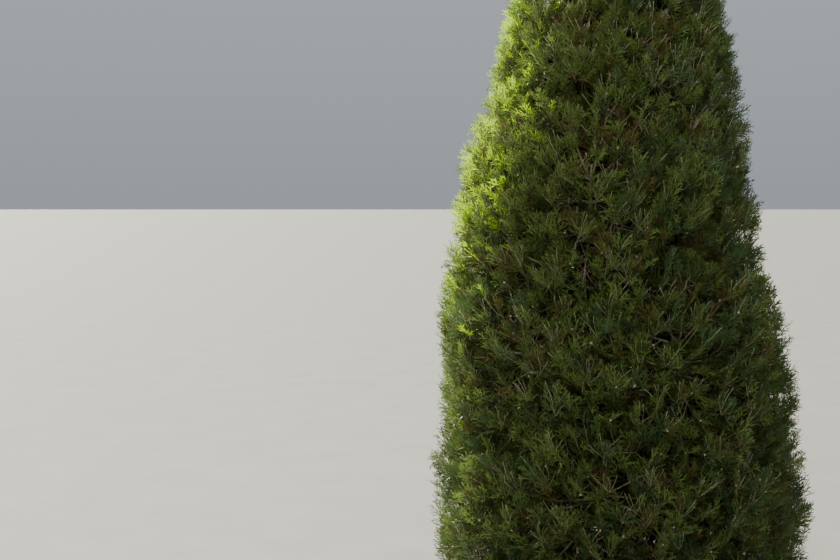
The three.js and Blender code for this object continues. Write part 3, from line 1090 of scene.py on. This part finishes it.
@dataclass
class Foliage:
    """The twiglets and sprays of the masses, carried on from the skeleton's twigs."""

    skeleton: Skeleton
    layers: tuple[Layer, ...] = (SKIN, MIDDLE, INSIDE)
    tint_rule: TintRule = TintRule()
    pattern_seed: int = 11
    fewest_rows: int = 3
    fewest_in_sector: int = 3
    fewest_at_top: int = 9
    row_shift: float = 0.25
    along_stray: float = 0.36
    up_stray: float = 0.45
    overhang: float = 0.08
    lobes: float = 0.048
    lobe_share: float = 0.10
    lobe_limit: float = 1.05
    least_share: float = 0.05
    twiglet_radius: float = 0.0017
    twiglet_tip_radius: float = 0.0006
    twiglet_starts: Range = (0.62, 1.0)
    twiglet_turn: float = 0.8
    twiglet_bow: float = 0.55
    lean: float = 0.62
    leans: Range = (0.5, 1.4)
    lean_at_root: float = 1.4
    lean_loss: float = 0.5
    tip_lean: float = 0.2
    lift: float = 0.30
    drooping_below: float = 0.16
    normal_stray: float = 0.6
    length_at_root: float = 1.3
    length_loss: float = 0.45
    length_stray: float = 0.24
    smallest_spray: float = 0.84
    least_length: float = 0.038
    length_by_reach: float = 0.60
    farthest_out: float = 0.052
    lowest: float = 0.006
    lowest_tip: float = 0.024
    cut_to: float = 0.8
    cuts: int = 4
    leader_out: float = 0.085
    leader_lift: float = 1.8
    leader_length: float = 0.26
    patterns: dict[Layer, list[MeshArrays]] = field(default_factory=dict)
    twiglets: list[Limb] = field(default_factory=list)

    def model_patterns(self) -> None:
        """Model the finger once and make every layer's spray patterns from it."""
        finger, triangles = Branchlet().build()
        for layer in self.layers:
            seeded = enumerate(layer.patterns, self.pattern_seed)
            self.patterns[layer] = [pattern.build(finger, triangles, seed) for seed, pattern in seeded]

    def tips(self, patch: Patch) -> Array:
        """Spread twiglet tips evenly over a patch, in a low dome over each twig.

        Args:
            patch: The patch.

        Returns:
            The tips: one row of angle, X, Y and Z each.
        """
        mass, layer, chance = patch.mass, patch.layer, patch.chance
        bones = self.skeleton
        scale = bones.scale_of(mass)
        spacing = layer.spacing * scale
        rows = max(self.fewest_rows, round(bones.span(mass) / spacing))
        share_at_twigs = bones.twig_reach - bones.twig_sunk / mass.reach
        fewest = self.fewest_in_sector if mass.tier <= bones.tiers else self.fewest_at_top
        bottom = -self.overhang if mass.tier > 1 else 0.0
        found = []
        for row in range(rows):
            up = (row + 0.5) / rows
            room = 2 * mass.half_angle * (bones.reach_up(mass, up) - scale * layer.depth)
            columns = max(fewest, round(room / spacing))
            shifted = np.arange(columns) + 0.5 + self.row_shift * (-1) ** row
            along = (shifted + either_way(chance, self.along_stray, columns)) / columns
            angle = mass.angle + mass.half_angle * (2 * along - 1)
            ups = up + either_way(chance, self.up_stray, columns) / rows
            height = bones.height_in(mass, angle, lerp(bottom, 1, ups))
            reaches = bones.crown.reach(height, angle)
            domes = self.between_twigs(patch, bones.crown.point(angle, height, share_at_twigs))
            under = scale * (layer.depth + either_way(chance, 1, columns) * layer.stray)
            under += np.minimum(self.lobes * scale, self.lobe_share * reaches) * domes
            share = np.clip(1 - under / reaches, self.least_share, 1)
            found.append(np.column_stack([angle, bones.crown.point(angle, height, share)]))
        return np.concatenate(found)

    def between_twigs(self, patch: Patch, places: Array) -> Array:
        """Give how far places lie from the nearest twig's end: 0 over it and 1 midway between twigs.

        Args:
            patch: The patch.
            places: Points at the depth where twigs end.

        Returns:
            The shares, one for each place.
        """
        ends = np.array([twig.end for twig in patch.twigs])
        nearest = np.linalg.norm(places[:, None, :] - ends[None, :, :], axis=2).min(axis=1)
        spacing = self.skeleton.twig_spacing * self.skeleton.scale_of(patch.mass)
        return np.clip(2 * nearest / spacing, 0, self.lobe_limit) ** 2

    def grow_twiglets(self, patch: Patch) -> list[Limb]:
        """Grow a twiglet to each of a patch's tips from the nearest twig.

        Args:
            patch: The patch.

        Returns:
            The twiglets.
        """
        chance = patch.chance
        ends = np.array([twig.end for twig in patch.twigs])
        grown = []
        for angle, *place in self.tips(patch):
            place = np.array(place)
            twig = patch.twigs[int(np.argmin(np.linalg.norm(ends - place, axis=1)))]
            start = twig.point(chance.uniform(*self.twiglet_starts))
            turn = angle + either_way(chance, self.twiglet_turn)
            rise = math.radians(chance.uniform(*patch.layer.rises))
            level = math.cos(rise)
            heading = np.array([math.cos(turn) * level, math.sin(turn) * level, math.sin(rise)])
            middle = place - heading * np.linalg.norm(place - start) * self.twiglet_bow
            grown.append(Limb(start, middle, place, self.twiglet_radius, self.twiglet_tip_radius))
        return grown

    def grow_sprays(self, patch: Patch, twiglets: list[Limb]) -> Grown:
        """Set sprays along twiglets.

        Args:
            patch: The patch.
            twiglets: Its twiglets.

        Returns:
            The sprays that stay inside the crown's reach.
        """
        layer = patch.layer
        from_tip = (1 - layer.first_spray) * np.linspace(1, 0, layer.sprays) ** layer.crowding
        t = (1 - from_tip)[None, :, None]
        many = Limb.many(twiglets)
        roots = many.point(t)
        axes = self.spray_axes(patch, roots, many.tangent(t), t)
        lengths = self.spray_lengths(patch, roots, t)
        tints = self.tint_rule.deal(self.skeleton.crown, roots, t, patch.chance)
        grown = Grown(roots.reshape(-1, 3), axes.reshape(-1, 3, 3), lengths.ravel(), tints.ravel())
        return self.keep_inside(grown)

    def spray_axes(self, patch: Patch, roots: Array, tangents: Array, t: Array) -> Array:
        """Lean sprays to both sides in the flat of each twiglet's own frond, and lift them to the light.

        Args:
            patch: The patch.
            roots: The sprays' roots: twiglet, spray, XYZ.
            tangents: The twiglets' directions there.
            t: Each spray's share of its twiglet's length.

        Returns:
            Each spray's directions across, along and out of its flat, as rows.
        """
        chance = patch.chance
        count, number, _ = roots.shape
        roll = either_way(chance, patch.layer.roll, (count, 1, 1))
        level = beside(tangents)
        flat = level * np.cos(roll) + np.cross(tangents, level) * np.sin(roll)
        side = np.where(np.arange(number) % 2 == 0, 1.0, -1.0)[None, :, None]
        lean = self.lean * chance.uniform(*self.leans, (count, number, 1))
        lean = lean * (self.lean_at_root - self.lean_loss * t)
        lean[:, -1] = either_way(chance, self.tip_lean, (count, 1))
        z = roots[..., 2:3]
        lift = self.lift * np.clip((z - self.drooping_below) / self.drooping_below, -1, 1)
        lift += self.leader_lift * np.clip(1 - (self.skeleton.crown.height - z) / self.leader_length, 0, 1)
        along = unit(tangents * np.cos(lean) + side * flat * np.sin(lean) + UP * lift)
        normal = unit(np.cross(tangents, flat) + either_way(chance, self.normal_stray, (count, number, 3)))
        across = unit(np.cross(along, normal))
        return np.stack([across, along, np.cross(across, along)], axis=-2)

    def spray_lengths(self, patch: Patch, roots: Array, t: Array) -> Array:
        """Choose lengths: less towards a twiglet's tip, high in the crown and where the crown is narrow.

        Args:
            patch: The patch.
            roots: The sprays' roots: twiglet, spray, XYZ.
            t: Each spray's share of its twiglet's length.

        Returns:
            The lengths.
        """
        crown = self.skeleton.crown
        size = lerp(self.smallest_spray, 1, patch.mass.reach / crown.radius)
        lengths = patch.layer.length * size * (self.length_at_root - self.length_loss * t[..., 0])
        strays = patch.chance.uniform(1 - self.length_stray, 1 + self.length_stray, roots.shape[:2])
        lengths = lengths * strays
        longest = self.least_length + self.length_by_reach * crown.reach(roots[..., 2], 0.0)
        return np.minimum(lengths, longest)

    def keep_inside(self, grown: Grown) -> Grown:
        """Shorten sprays that stand too far out or too low, and leave out those that still do.

        Args:
            grown: The sprays.

        Returns:
            Those that stay inside.
        """
        crown = self.skeleton.crown
        for _ in range(self.cuts):
            tips = grown.roots + grown.axes[:, 1] * grown.lengths[:, None]
            _, proud = crown.place(tips)
            outside = (proud > self.farthest_out) | (tips[:, 2] < self.lowest_tip)
            outside |= tips[:, 2] > crown.height + self.leader_out
            grown.lengths = np.where(outside, grown.lengths * self.cut_to, grown.lengths)
        return grown.chosen(~outside)

    def build_mass(self, mass: Mass, materials: list[Material]) -> Piece:
        """Grow one mass and join its sprays into a piece.

        Args:
            mass: The mass.
            materials: The leaf materials.

        Returns:
            The piece.
        """
        chance = np.random.default_rng(mass.seed)
        twigs = self.skeleton.twigs(mass, self.skeleton.stem(mass))
        parts, dealt = [], []
        for layer in self.layers:
            patch = Patch(mass, layer, twigs, chance)
            twiglets = self.grow_twiglets(patch)
            self.twiglets.extend(twiglets)
            grown = self.grow_sprays(patch, twiglets)
            numbers = chance.integers(0, len(layer.patterns), len(grown.lengths))
            for number, (pattern, triangles) in enumerate(self.patterns[layer]):
                mine = grown.chosen(numbers == number)
                places = copies(pattern, mine.roots, mine.axes, mine.lengths)
                above = places[..., 2].min(axis=1) > self.lowest
                parts.append((places[above].reshape(-1, 3), repeated(triangles, above.sum(), len(pattern))))
                dealt.append(np.repeat(mine.tints[above], len(triangles)))
        piece = joined_piece(f"sprays_{mass.name}", join_parts(parts), materials, np.concatenate(dealt))
        return declare(piece, "foliage", f"foliage_{mass.name}")


def tubes(limbs: list[Limb], sides: int, steps: int) -> MeshArrays:
    """Mesh many limbs as closed tapering tubes.

    Args:
        limbs: The limbs.
        sides: Sides of each tube.
        steps: Steps along each.

    Returns:
        Vertices and triangles.
    """
    t = np.linspace(0, 1, steps + 1)[None, :, None]
    many = Limb.many(limbs)
    tangents = many.tangent(t)
    level = beside(tangents)
    other = np.cross(tangents, level)
    turn = np.arange(sides) * 2 * math.pi / sides
    ring = level[:, :, None, :] * np.cos(turn)[:, None] + other[:, :, None, :] * np.sin(turn)[:, None]
    radius = lerp(many.radius, many.tip_radius, t)
    places = many.point(t)[:, :, None, :] + ring * radius[..., None]
    faces = []
    for step in range(steps):
        for n in range(sides):
            a, b = step * sides + n, step * sides + (n + 1) % sides
            faces += [(a, b, b + sides), (a, b + sides, a + sides)]
    last = steps * sides
    faces += [(0, n + 1, n) for n in range(1, sides - 1)]
    faces += [(last, last + n, last + n + 1) for n in range(1, sides - 1)]
    return places.reshape(-1, 3), repeated(np.array(faces), len(limbs), (steps + 1) * sides)


@dataclass
class Twigs:
    """Stems, twigs and twiglets, joined into one piece, and the thin bare shoots between the sprays."""

    skeleton: Skeleton
    stem_sides: int = 8
    stem_steps: int = 8
    twig_sides: int = 5
    twig_steps: int = 5
    twiglet_sides: int = 3
    twiglet_steps: int = 2
    fork_count: int = 2600
    fork_steps: int = 3
    fork_length: float = 0.090
    fork_lengths: Range = (0.6, 1.15)
    fork_radius: float = 0.0013
    fork_tip_radius: float = 0.0006
    fork_lean: float = 0.5
    fork_splay: float = 0.34
    fork_splays: Range = (0.6, 1.3)
    fork_outward: Range = (0.2, 0.6)
    fork_bend: float = 0.22
    fork_share: float = 0.76
    fork_depth: float = 0.055
    fork_seed: int = 57

    def build(self, masses: list[Mass], twiglets: list[Limb]) -> Piece:
        """Mesh the twigs of all the masses.

        Args:
            masses: The masses.
            twiglets: All the twiglets.

        Returns:
            The piece.
        """
        stems = [self.skeleton.stem(mass) for mass in masses]
        twigs = [twig for mass, stem in zip(masses, stems) for twig in self.skeleton.twigs(mass, stem)]
        parts = [
            tubes(stems, self.stem_sides, self.stem_steps),
            tubes(twigs, self.twig_sides, self.twig_steps),
            tubes(twiglets, self.twiglet_sides, self.twiglet_steps),
        ]
        piece = joined_piece("twigs", join_parts(parts), [TWIG_BARK.material()], smooth=True)
        return declare(piece, "bark")

    def build_shoots(self, twiglets: list[Limb]) -> Piece:
        """Mesh the bare forks, half of them brown and half still green.

        Args:
            twiglets: All the twiglets.

        Returns:
            The piece.
        """
        arms = self.forks(twiglets)
        arrays = tubes(arms, self.twiglet_sides, self.fork_steps)
        dealt = np.repeat(np.arange(len(arms)) // 2 % 2, len(arrays[1]) // len(arms))
        barks = [TWIG_BARK.material(), SHOOT_BARK.material()]
        piece = joined_piece("shoots", arrays, barks, dealt, smooth=True)
        return declare(piece, "bark")

    def forks(self, twiglets: list[Limb]) -> list[Limb]:
        """Plan bare forks that rise from outer twiglets, two arms from each.

        Args:
            twiglets: All the twiglets.

        Returns:
            The arms.
        """
        chance = np.random.default_rng(self.fork_seed)
        roots = np.array([twiglet.point(self.fork_share) for twiglet in twiglets])
        angle, proud = self.skeleton.crown.place(roots)
        outer = np.flatnonzero((proud > -self.fork_depth) & (roots[:, 2] < self.skeleton.trunk_tip))
        arms = []
        for n in chance.choice(outer, self.fork_count):
            root = roots[n]
            outward = np.array([math.cos(angle[n]), math.sin(angle[n]), 0.0])
            level = np.array([-outward[1], outward[0], 0.0])
            lean = either_way(chance, self.fork_lean)
            for side in (-1, 1):
                turn = lean + side * self.fork_splay * chance.uniform(*self.fork_splays)
                heading = UP * math.cos(turn) + level * math.sin(turn)
                heading = heading + outward * chance.uniform(*self.fork_outward)
                length = self.fork_length * chance.uniform(*self.fork_lengths)
                end = root + unit(heading) * length
                middle = (root + end) / 2 + level * either_way(chance, self.fork_bend) * length
                arms.append(Limb(root, middle, end, self.fork_radius, self.fork_tip_radius))
        return arms


@dataclass(frozen=True)
class BarkRelief:
    """Fibrous ridges that run along a limb, pushed out of its mesh."""

    depth: float
    scale: float
    stretch: float = 0.14
    detail: float = 5.0
    roughness: float = 0.62
    noise_range: Range = (0.3, 0.7)

    def apply(self, piece: Piece) -> None:
        """Push a piece's vertices in and out along their normals, and keep the result.

        Args:
            piece: The piece.
        """
        group = bpy.data.node_groups.new("bark_relief", "GeometryNodeTree")
        for way in ("INPUT", "OUTPUT"):
            group.interface.new_socket("Geometry", in_out=way, socket_type="NodeSocketGeometry")
        source = add_node(group, "NodeGroupInput")
        result = add_node(group, "NodeGroupOutput")
        where = add_node(group, "GeometryNodeInputPosition")
        normal = add_node(group, "GeometryNodeInputNormal")
        grain = (self.scale, self.scale, self.scale * self.stretch)
        stretched = add_node(group, "ShaderNodeVectorMath", {1: grain}, "MULTIPLY")
        settings = {"Scale": 1.0, "Detail": self.detail, "Roughness": self.roughness}
        noise = add_node(group, "ShaderNodeTexNoise", settings)
        low, high = self.noise_range
        limits = {"From Min": low, "From Max": high, "To Min": -self.depth, "To Max": self.depth}
        amount = add_node(group, "ShaderNodeMapRange", limits)
        push = add_node(group, "ShaderNodeVectorMath", operation="SCALE")
        moved = add_node(group, "GeometryNodeSetPosition")
        link(
            group,
            (where, "Position", stretched, 0),
            (stretched, "Vector", noise, "Vector"),
            (noise, "Fac", amount, "Value"),
            (normal, "Normal", push, 0),
            (amount, "Result", push, "Scale"),
            (source, "Geometry", moved, "Geometry"),
            (push, "Vector", moved, "Offset"),
            (moved, "Geometry", result, "Geometry"),
        )
        modifier = piece.modifiers.new("bark_relief", "NODES")
        modifier.node_group = group
        apply_modifier(piece, modifier)


@dataclass
class Trunk:
    """The trunk: a flared foot, a long taper that follows the crown's sway, and fibrous bark."""

    skeleton: Skeleton
    sides: int = 20
    rings: int = 30
    rings_low: float = 1.6
    flare: float = 0.030
    flare_height: float = 0.065
    ridges: int = 5
    ridge_share: float = 0.16
    ridges_up_to: float = 0.26
    height_decimals: int = 5
    smoothing: int = 2
    relief: BarkRelief = BarkRelief(depth=0.0028, scale=30.0)
    foot_band: float = 0.0035

    def girth(self, z: float) -> float:
        """Give the trunk's radius at a height, root flare included."""
        return self.skeleton.trunk_girth(z) + self.flare * math.exp(-z / self.flare_height)

    def build(self) -> Piece:
        """Extrude the trunk ring by ring from a disc, then press its root ridges out and give it bark.

        Returns:
            The piece.
        """
        deselect_all()
        bpy.ops.mesh.primitive_circle_add(vertices=self.sides, radius=self.girth(0), fill_type="NGON")
        piece = bpy.context.object
        piece.name = piece.data.name = "trunk_bark"
        bpy.ops.object.mode_set(mode="EDIT")
        last = self.skeleton.trunk_centre(0.0)
        for ring in range(1, self.rings + 1):
            z = self.skeleton.trunk_tip * (ring / self.rings) ** self.rings_low
            centre = self.skeleton.trunk_centre(z)
            bpy.ops.mesh.extrude_region_move(TRANSFORM_OT_translate={"value": (centre - last).tolist()})
            size = self.girth(z) / self.girth(float(last[2]))
            bpy.ops.transform.resize(value=(size, size, 1), center_override=centre.tolist())
            last = centre
        self.press_ridges(piece)
        bpy.ops.mesh.select_all(action="SELECT")
        bpy.ops.mesh.normals_make_consistent(inside=False)
        bpy.ops.object.mode_set(mode="OBJECT")
        self.crease_foot(piece)
        refine(piece, self.smoothing)
        self.relief.apply(piece)
        self.flatten_foot(piece)
        piece.data.materials.append(BARK.material())
        return declare(piece, "bark", "trunk")

    def press_ridges(self, piece: Piece) -> None:
        """Move the foot's vertices out on the ridges between its roots.

        Args:
            piece: The trunk, in edit mode.
        """
        bpy.ops.object.mode_set(mode="OBJECT")
        places = vertex_places(piece)
        bpy.ops.object.mode_set(mode="EDIT")
        turn = np.arctan2(places[:, 1], places[:, 0])
        heights = np.unique(np.round(places[:, 2], self.height_decimals))
        for z in heights[heights < self.ridges_up_to]:
            size = 1 + self.ridge_share * math.exp(-z / self.flare_height)
            for ridge in range(self.ridges):
                angle = 2 * math.pi * ridge / self.ridges
                near = np.cos(turn - angle) > math.cos(math.pi / self.ridges / 2)
                select_vertices(piece, near & (np.abs(places[:, 2] - z) < SAME_PLACE))
                bpy.ops.transform.resize(value=(size, size, 1), center_override=(0, 0, float(z)))

    def crease_foot(self, piece: Piece) -> None:
        """Keep the rim of the ground cut sharp when the trunk is subdivided.

        Args:
            piece: The trunk, in object mode.
        """
        places = vertex_places(piece)
        crease = piece.data.attributes.new("crease_edge", "FLOAT", "EDGE")
        for edge in piece.data.edges:
            if all(places[v, 2] < SAME_PLACE for v in edge.vertices):
                crease.data[edge.index].value = 1.0

    def flatten_foot(self, piece: Piece) -> None:
        """Set the foot's lowest vertices back on the ground after the bark is pushed out.

        Args:
            piece: The trunk, in object mode.
        """
        places = vertex_places(piece)
        places[:, 2] = np.where(places[:, 2] < self.foot_band, 0.0, places[:, 2])
        piece.data.vertices.foreach_set("co", places.ravel())
        piece.data.update()


@dataclass
class Boughs:
    """The boughs: tapering curves from the trunk to the masses, with bark."""

    skeleton: Skeleton
    resolution: int = 14
    roundness: int = 3
    smoothing: int = 1
    relief: BarkRelief = BarkRelief(depth=0.0012, scale=46.0, stretch=0.5)

    def build(self, masses: list[Mass]) -> Piece:
        """Draw each bough as a curve with a round section, and make them one mesh.

        Args:
            masses: The masses that boughs carry.

        Returns:
            The piece.
        """
        deselect_all()
        bpy.ops.curve.primitive_bezier_curve_add()
        piece = bpy.context.object
        piece.name = piece.data.name = "boughs_bark"
        curve = piece.data
        curve.splines.clear()
        curve.dimensions = "3D"
        curve.bevel_depth = 1.0
        curve.bevel_resolution = self.roundness
        curve.resolution_u = self.resolution
        curve.use_fill_caps = True
        for mass in masses:
            self.draw(curve, self.skeleton.bough(mass))
        bpy.ops.object.convert(target="MESH")
        piece = bpy.context.object
        bpy.ops.object.mode_set(mode="EDIT")
        bpy.ops.mesh.select_all(action="SELECT")
        bpy.ops.mesh.remove_doubles(threshold=SAME_PLACE)
        bpy.ops.mesh.normals_make_consistent(inside=False)
        bpy.ops.object.mode_set(mode="OBJECT")
        refine(piece, self.smoothing)
        self.relief.apply(piece)
        piece.data.materials.clear()
        piece.data.materials.append(BARK.material())
        return declare(piece, "bark", *[f"bough_{mass.name}" for mass in masses])

    def draw(self, curve: bpy.types.Curve, limb: Limb) -> None:
        """Add a limb to a curve, with handles two thirds of the way to the limb's control point.

        Args:
            curve: The curve.
            limb: The limb.
        """
        spline = curve.splines.new("BEZIER")
        spline.bezier_points.add(1)
        first, last = spline.bezier_points
        first.co, last.co = limb.start, limb.end
        first.radius, last.radius = limb.radius, limb.tip_radius
        first.handle_right = limb.start + (limb.middle - limb.start) * 2 / 3
        last.handle_left = limb.end + (limb.middle - limb.end) * 2 / 3
        first.handle_left = 2 * limb.start - np.array(first.handle_right)
        last.handle_right = 2 * limb.end - np.array(last.handle_left)


@dataclass
class Cones:
    """Small dry seed cones, set near the ends of some twiglets."""

    skeleton: Skeleton
    length: float = 0.011
    lengths: Range = (0.6, 1.3)
    slimness: float = 0.55
    scales_from: float = 0.45
    scale_rim: float = 0.03
    scale_rise: float = 0.09
    number: int = 460
    deepest: float = 0.05
    highest: float = 2.6
    fewer_over: float = 1.2
    places: Range = (0.75, 0.98)
    stray: float = 0.7
    seed: int = 90

    def model_cone(self) -> MeshArrays:
        """Model one cone, a unit long along +Y, from a ball whose upper faces open as scales.

        Returns:
            Its vertices and triangles.
        """
        middle = (0, 0.5, 0)
        deselect_all()
        bpy.ops.mesh.primitive_ico_sphere_add(subdivisions=1, radius=0.5, location=middle)
        piece = bpy.context.object
        bpy.ops.object.transform_apply(location=True)
        bpy.ops.object.mode_set(mode="EDIT")
        bpy.ops.transform.resize(value=(self.slimness, 1, self.slimness), center_override=middle)
        bpy.ops.mesh.select_mode(type="FACE")
        bpy.ops.mesh.select_all(action="DESELECT")
        bpy.ops.object.mode_set(mode="OBJECT")
        for face in piece.data.polygons:
            face.select = face.center.y > self.scales_from
        bpy.ops.object.mode_set(mode="EDIT")
        bpy.ops.mesh.inset(thickness=self.scale_rim, depth=self.scale_rise, use_individual=True)
        return take_pattern(piece)

    def build(self, twiglets: list[Limb]) -> Piece:
        """Set the cones on twiglets and join them.

        Args:
            twiglets: All the twiglets.

        Returns:
            The piece.
        """
        pattern, triangles = self.model_cone()
        chance = np.random.default_rng(self.seed)
        ends = np.array([twiglet.end for twiglet in twiglets])
        _, proud = self.skeleton.crown.place(ends)
        outer = np.flatnonzero((proud > -self.deepest) & (ends[:, 2] < self.highest))
        weight = np.exp(-ends[outer, 2] / self.fewer_over)
        chosen = chance.choice(outer, self.number, replace=False, p=weight / weight.sum())
        roots = np.array([twiglets[n].point(chance.uniform(*self.places)) for n in chosen])
        along = np.array([twiglets[n].tangent(1) for n in chosen])
        along = unit(along + either_way(chance, self.stray, (self.number, 3)))
        across = beside(along)
        axes = np.stack([across, along, np.cross(across, along)], axis=1)
        sizes = self.length * chance.uniform(*self.lengths, self.number)
        places = copies(pattern, roots, axes, sizes).reshape(-1, 3)
        arrays = places, repeated(triangles, self.number, len(pattern))
        piece = joined_piece("cones", arrays, [CONE_SCALE.material()])
        return declare(piece, "foliage")


@dataclass
class Studio:
    """A pale floor, soft lights, and a camera where the photograph was taken from."""

    eye_height: float = 1.55
    distance: float = 5.0
    tree_right_of_middle: float = 0.77
    pitch_down: float = math.radians(3.66)
    picture_width: int = 840
    focal_pixels: float = 1250.0
    sensor: float = 36.0
    floor_size: float = 400.0
    horizon: Triple = (0.33, 0.36, 0.39)
    zenith: Triple = (0.80, 0.86, 0.92)
    sun_power: float = 15.5
    sun_colour: Triple = (1.0, 0.95, 0.74)
    sun_softness: float = math.radians(7)
    sun_height: float = math.radians(31)
    sun_turn: float = math.radians(-150)
    sun_place: Triple = (0.0, 0.0, 6.0)
    overhead_power: float = 260.0
    overhead_size: float = 1.8
    overhead_place: Triple = (-1.7, -2.9, 6.3)
    overhead_turn: Triple = (math.radians(32), 0.0, math.radians(-32))

    def build(self) -> None:
        """Set the camera, the floor, the lights and the sky."""
        self.add_camera()
        self.add_floor()
        self.add_sun()
        self.add_overhead()
        self.add_sky()

    def add_camera(self) -> None:
        """Stand the camera at eye height, looking level along +Y and a little down."""
        camera = bpy.data.cameras.new("camera")
        camera.sensor_width = self.sensor
        camera.lens = self.focal_pixels / self.picture_width * self.sensor
        place = (-self.tree_right_of_middle, -self.distance, self.eye_height)
        bpy.context.scene.camera = self.put(camera, place, (math.pi / 2 - self.pitch_down, 0, 0))

    def add_floor(self) -> None:
        """Lay a pale floor, which isn't part of the tree."""
        deselect_all()
        bpy.ops.mesh.primitive_plane_add(size=self.floor_size)
        floor = bpy.context.object
        floor.name = "floor"
        floor.data.materials.append(PALE_FLOOR.material())

    def add_sun(self) -> None:
        """Hang a soft sun behind the tree and to its left."""
        light = bpy.data.lights.new("sun", "SUN")
        light.energy = self.sun_power
        light.angle = self.sun_softness
        light.color = self.sun_colour
        self.put(light, self.sun_place, (math.pi / 2 - self.sun_height, 0, self.sun_turn))

    def add_overhead(self) -> None:
        """Hang a large soft light above the tree's front."""
        light = bpy.data.lights.new("overhead", "AREA")
        light.energy = self.overhead_power
        light.size = self.overhead_size
        self.put(light, self.overhead_place, self.overhead_turn)

    def add_sky(self) -> None:
        """Light the scene from all round, more from above than from the horizon."""
        world = bpy.data.worlds.new("soft_light")
        bpy.context.scene.world = world
        world.use_nodes = True
        tree = world.node_tree
        where = add_node(tree, "ShaderNodeTexCoord")
        split = add_node(tree, "ShaderNodeSeparateXYZ")
        ramp = add_ramp(tree, self.horizon, self.zenith)
        link(
            tree,
            (where, "Generated", split, "Vector"),
            (split, "Z", ramp, "Fac"),
            (ramp, "Color", tree.nodes["Background"], "Color"),
        )

    def put(self, thing: bpy.types.Camera | bpy.types.Light, place: Triple, turn: Triple) -> Piece:
        """Put a light or the camera in the scene.

        Args:
            thing: The light or camera.
            place: Where it goes.
            turn: How it is turned from facing straight down.

        Returns:
            Its object.
        """
        held = bpy.data.objects.new(thing.name, thing)
        held.location = place
        held.rotation_euler = turn
        bpy.context.collection.objects.link(held)
        return held


def main() -> None:
    """Build the studio and the tree, and log each piece's face count."""
    Studio().build()
    skeleton = Skeleton(Crown())
    masses = skeleton.masses()
    pieces = [Trunk(skeleton).build()]
    pieces.append(Boughs(skeleton).build([mass for mass in masses if mass.tier <= skeleton.tiers]))
    foliage = Foliage(skeleton)
    foliage.model_patterns()
    materials = [tint.value.material() for tint in Tint]
    pieces += [foliage.build_mass(mass, materials) for mass in masses]
    twigs = Twigs(skeleton)
    pieces += [twigs.build(masses, foliage.twiglets), twigs.build_shoots(foliage.twiglets)]
    pieces.append(Cones(skeleton).build(foliage.twiglets))
    for piece in pieces:
        log.info("%s: %d faces", piece.name, len(piece.data.polygons))


if __name__ == "__main__":
    main()
